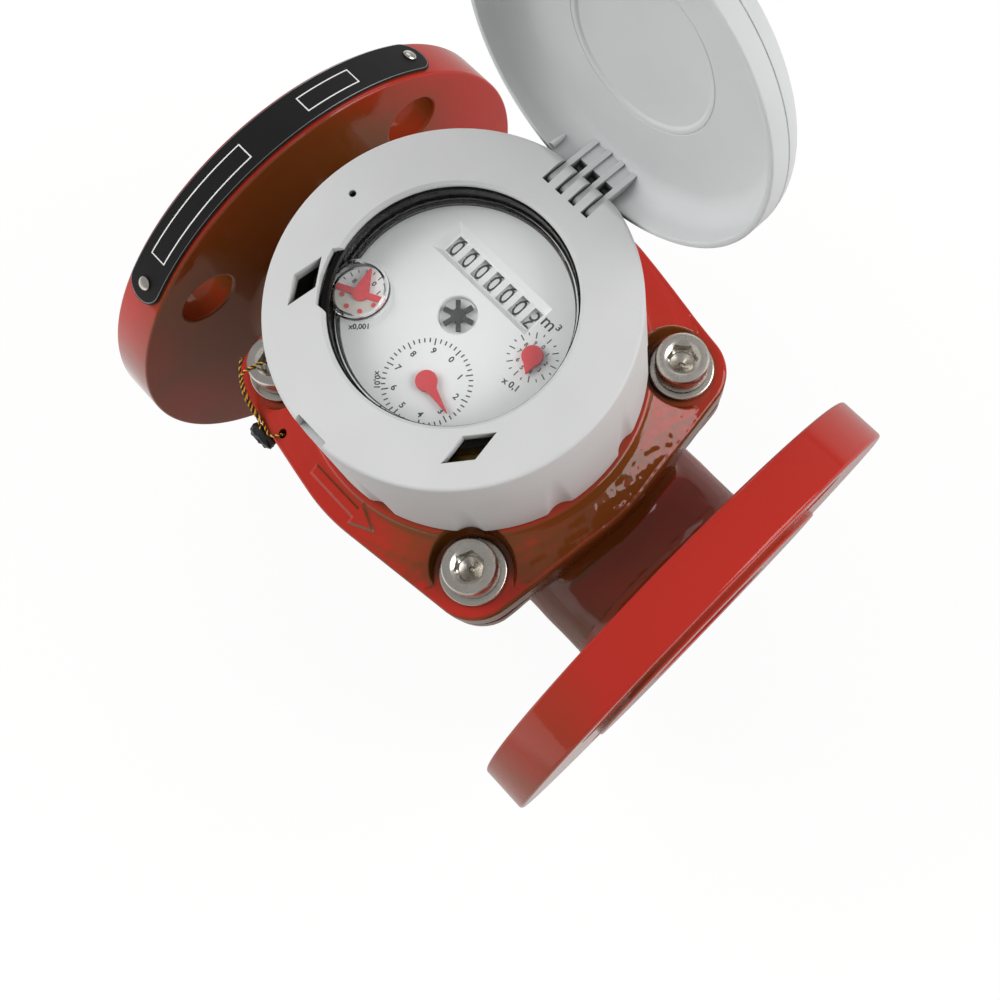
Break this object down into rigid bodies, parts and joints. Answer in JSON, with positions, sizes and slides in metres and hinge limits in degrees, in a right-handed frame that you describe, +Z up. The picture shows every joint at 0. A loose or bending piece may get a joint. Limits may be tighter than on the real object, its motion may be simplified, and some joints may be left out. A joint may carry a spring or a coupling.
{
  "type": "water meter",
  "caption": "Flanged water meter with a helical turbine insert, a bolted cover, a sealed dry register with dial and number drums, and a hinged lid that stands open.",
  "frame": {"origin": "on the pipe's centreline, midway between the two raised flange faces", "axes": "+X along the flow to the outlet flange, +Y to the side where the lid is hinged, +Z up to the dial"},
  "size_m": [0.2, 0.165, 0.2862],
  "materials": {
    "red_epoxy_cast_iron": "glossy red epoxy coating",
    "black_rubber": "moulded",
    "stainless_steel": "turned, bright",
    "insert_plastic": "moulded",
    "rotor_plastic": "moulded",
    "brass_can": "drawn",
    "dial_white": "printed",
    "black_plastic": "moulded",
    "pointer_red": "moulded",
    "clear_glass": "clear",
    "shroud_grey": "fine grain",
    "lid_grey": "fine grain",
    "nameplate_black": "anodised black",
    "wire_brass": "twisted wire"
  },
  "bodies": {
    "meter_assembly": {"meter_body": "red_epoxy_cast_iron", "cover_gasket": "black_rubber", "cover_plate": "red_epoxy_cast_iron", "cover_screw_1": "stainless_steel", "cover_screw_2": "stainless_steel", "cover_screw_3": "stainless_steel", "cover_screw_4": "stainless_steel", "cover_washer_1": "stainless_steel", "cover_washer_2": "stainless_steel", "cover_washer_3": "stainless_steel", "cover_washer_4": "stainless_steel", "insert_head": "insert_plastic", "turbine_housing": "insert_plastic", "flow_straightener": "rotor_plastic", "outlet_bracket": "rotor_plastic", "front_bearing": "black_plastic", "rear_bearing": "black_plastic", "register_can": "brass_can", "movement_frame": "black_plastic", "drum_axle": "stainless_steel", "dial_plate": "dial_white", "glass_gasket": "black_rubber", "register_glass": "clear_glass", "register_shroud": "shroud_grey", "hinge_pin": "stainless_steel", "nameplate": "nameplate_black", "nameplate_rivet_1": "stainless_steel", "nameplate_rivet_2": "stainless_steel", "seal_wire": "wire_brass", "wire_seal": "black_plastic"},
    "register_lid": {"lid": "lid_grey"},
    "measuring_rotor": {"rotor": "rotor_plastic"},
    "drive_shaft": {"drive_shaft": "rotor_plastic"},
    "star_indicator": {"star_indicator": "black_plastic"},
    "pointer_x0_01": {"pointer_x0_01": "pointer_red"},
    "pointer_x0_1": {"pointer_x0_1": "pointer_red"},
    "pointer_x0_001": {"pointer_x0_001": "pointer_red"},
    "number_drum_1": {"number_drum_1": "dial_white"},
    "number_drum_2": {"number_drum_2": "dial_white"},
    "number_drum_3": {"number_drum_3": "dial_white"},
    "number_drum_4": {"number_drum_4": "dial_white"},
    "number_drum_5": {"number_drum_5": "dial_white"},
    "number_drum_6": {"number_drum_6": "dial_white"},
    "number_drum_7": {"number_drum_7": "dial_white"}
  },
  "joints": [
    {"name": "lid_hinge", "type": "hinge", "parent": "meter_assembly", "child": "register_lid", "pos_m": [0, 0.04544, 0.1111], "axis": [1, 0, 0], "range_deg": [0, 100.5]},
    {"name": "rotor_spin", "type": "hinge", "parent": "meter_assembly", "child": "measuring_rotor", "pos_m": [0, 0, 0], "axis": [1, 0, 0], "continuous": true},
    {"name": "drive_shaft_spin", "type": "hinge", "parent": "meter_assembly", "child": "drive_shaft", "pos_m": [0.016, 0.01, 0], "axis": [0, 0, 1], "continuous": true},
    {"name": "star_spin", "type": "hinge", "parent": "meter_assembly", "child": "star_indicator", "pos_m": [0, 0, 0.102], "axis": [0, 0, 1], "continuous": true},
    {"name": "pointer_x0_001_turn", "type": "hinge", "parent": "meter_assembly", "child": "pointer_x0_001", "pos_m": [-0.022, -0.0145, 0.105], "axis": [0, 0, 1], "continuous": true},
    {"name": "pointer_x0_01_turn", "type": "hinge", "parent": "meter_assembly", "child": "pointer_x0_01", "pos_m": [0.0079, -0.0183, 0.1029], "axis": [0, 0, 1], "continuous": true},
    {"name": "pointer_x0_1_turn", "type": "hinge", "parent": "meter_assembly", "child": "pointer_x0_1", "pos_m": [0.0226, 0.0058, 0.1029], "axis": [0, 0, 1], "continuous": true},
    {"name": "number_drum_7_turn", "type": "hinge", "parent": "meter_assembly", "child": "number_drum_7", "pos_m": [-0.0153, 0.0134, 0.0919], "axis": [1, 0, 0], "continuous": true},
    {"name": "number_drum_6_turn", "type": "hinge", "parent": "meter_assembly", "child": "number_drum_6", "pos_m": [-0.0104, 0.0134, 0.0919], "axis": [1, 0, 0], "continuous": true},
    {"name": "number_drum_5_turn", "type": "hinge", "parent": "meter_assembly", "child": "number_drum_5", "pos_m": [-0.0055, 0.0134, 0.0919], "axis": [1, 0, 0], "continuous": true},
    {"name": "number_drum_4_turn", "type": "hinge", "parent": "meter_assembly", "child": "number_drum_4", "pos_m": [-0.0006, 0.0134, 0.0919], "axis": [1, 0, 0], "continuous": true},
    {"name": "number_drum_3_turn", "type": "hinge", "parent": "meter_assembly", "child": "number_drum_3", "pos_m": [0.0043, 0.0134, 0.0919], "axis": [1, 0, 0], "continuous": true},
    {"name": "number_drum_2_turn", "type": "hinge", "parent": "meter_assembly", "child": "number_drum_2", "pos_m": [0.0092, 0.0134, 0.0919], "axis": [1, 0, 0], "continuous": true},
    {"name": "number_drum_1_turn", "type": "hinge", "parent": "meter_assembly", "child": "number_drum_1", "pos_m": [0.0141, 0.0134, 0.0919], "axis": [1, 0, 0], "continuous": true}
  ],
  "couplings": [
    {"joint": "drive_shaft_spin", "follows": "rotor_spin", "ratio": -0.071429},
    {"joint": "star_spin", "follows": "rotor_spin", "ratio": 0.2},
    {"joint": "pointer_x0_001_turn", "follows": "rotor_spin", "ratio": 0.02},
    {"joint": "pointer_x0_01_turn", "follows": "rotor_spin", "ratio": 0.002},
    {"joint": "pointer_x0_1_turn", "follows": "rotor_spin", "ratio": 0.0002},
    {"joint": "number_drum_1_turn", "follows": "rotor_spin", "ratio": 0.00002},
    {"joint": "number_drum_2_turn", "follows": "rotor_spin", "ratio": 0.000002},
    {"joint": "number_drum_3_turn", "follows": "rotor_spin", "ratio": 0.0000002},
    {"joint": "number_drum_4_turn", "follows": "rotor_spin", "ratio": 0.00000002},
    {"joint": "number_drum_5_turn", "follows": "rotor_spin", "ratio": 0.000000002},
    {"joint": "number_drum_6_turn", "follows": "rotor_spin", "ratio": 0.0000000002},
    {"joint": "number_drum_7_turn", "follows": "rotor_spin", "ratio": 0.00000000002}
  ]
}
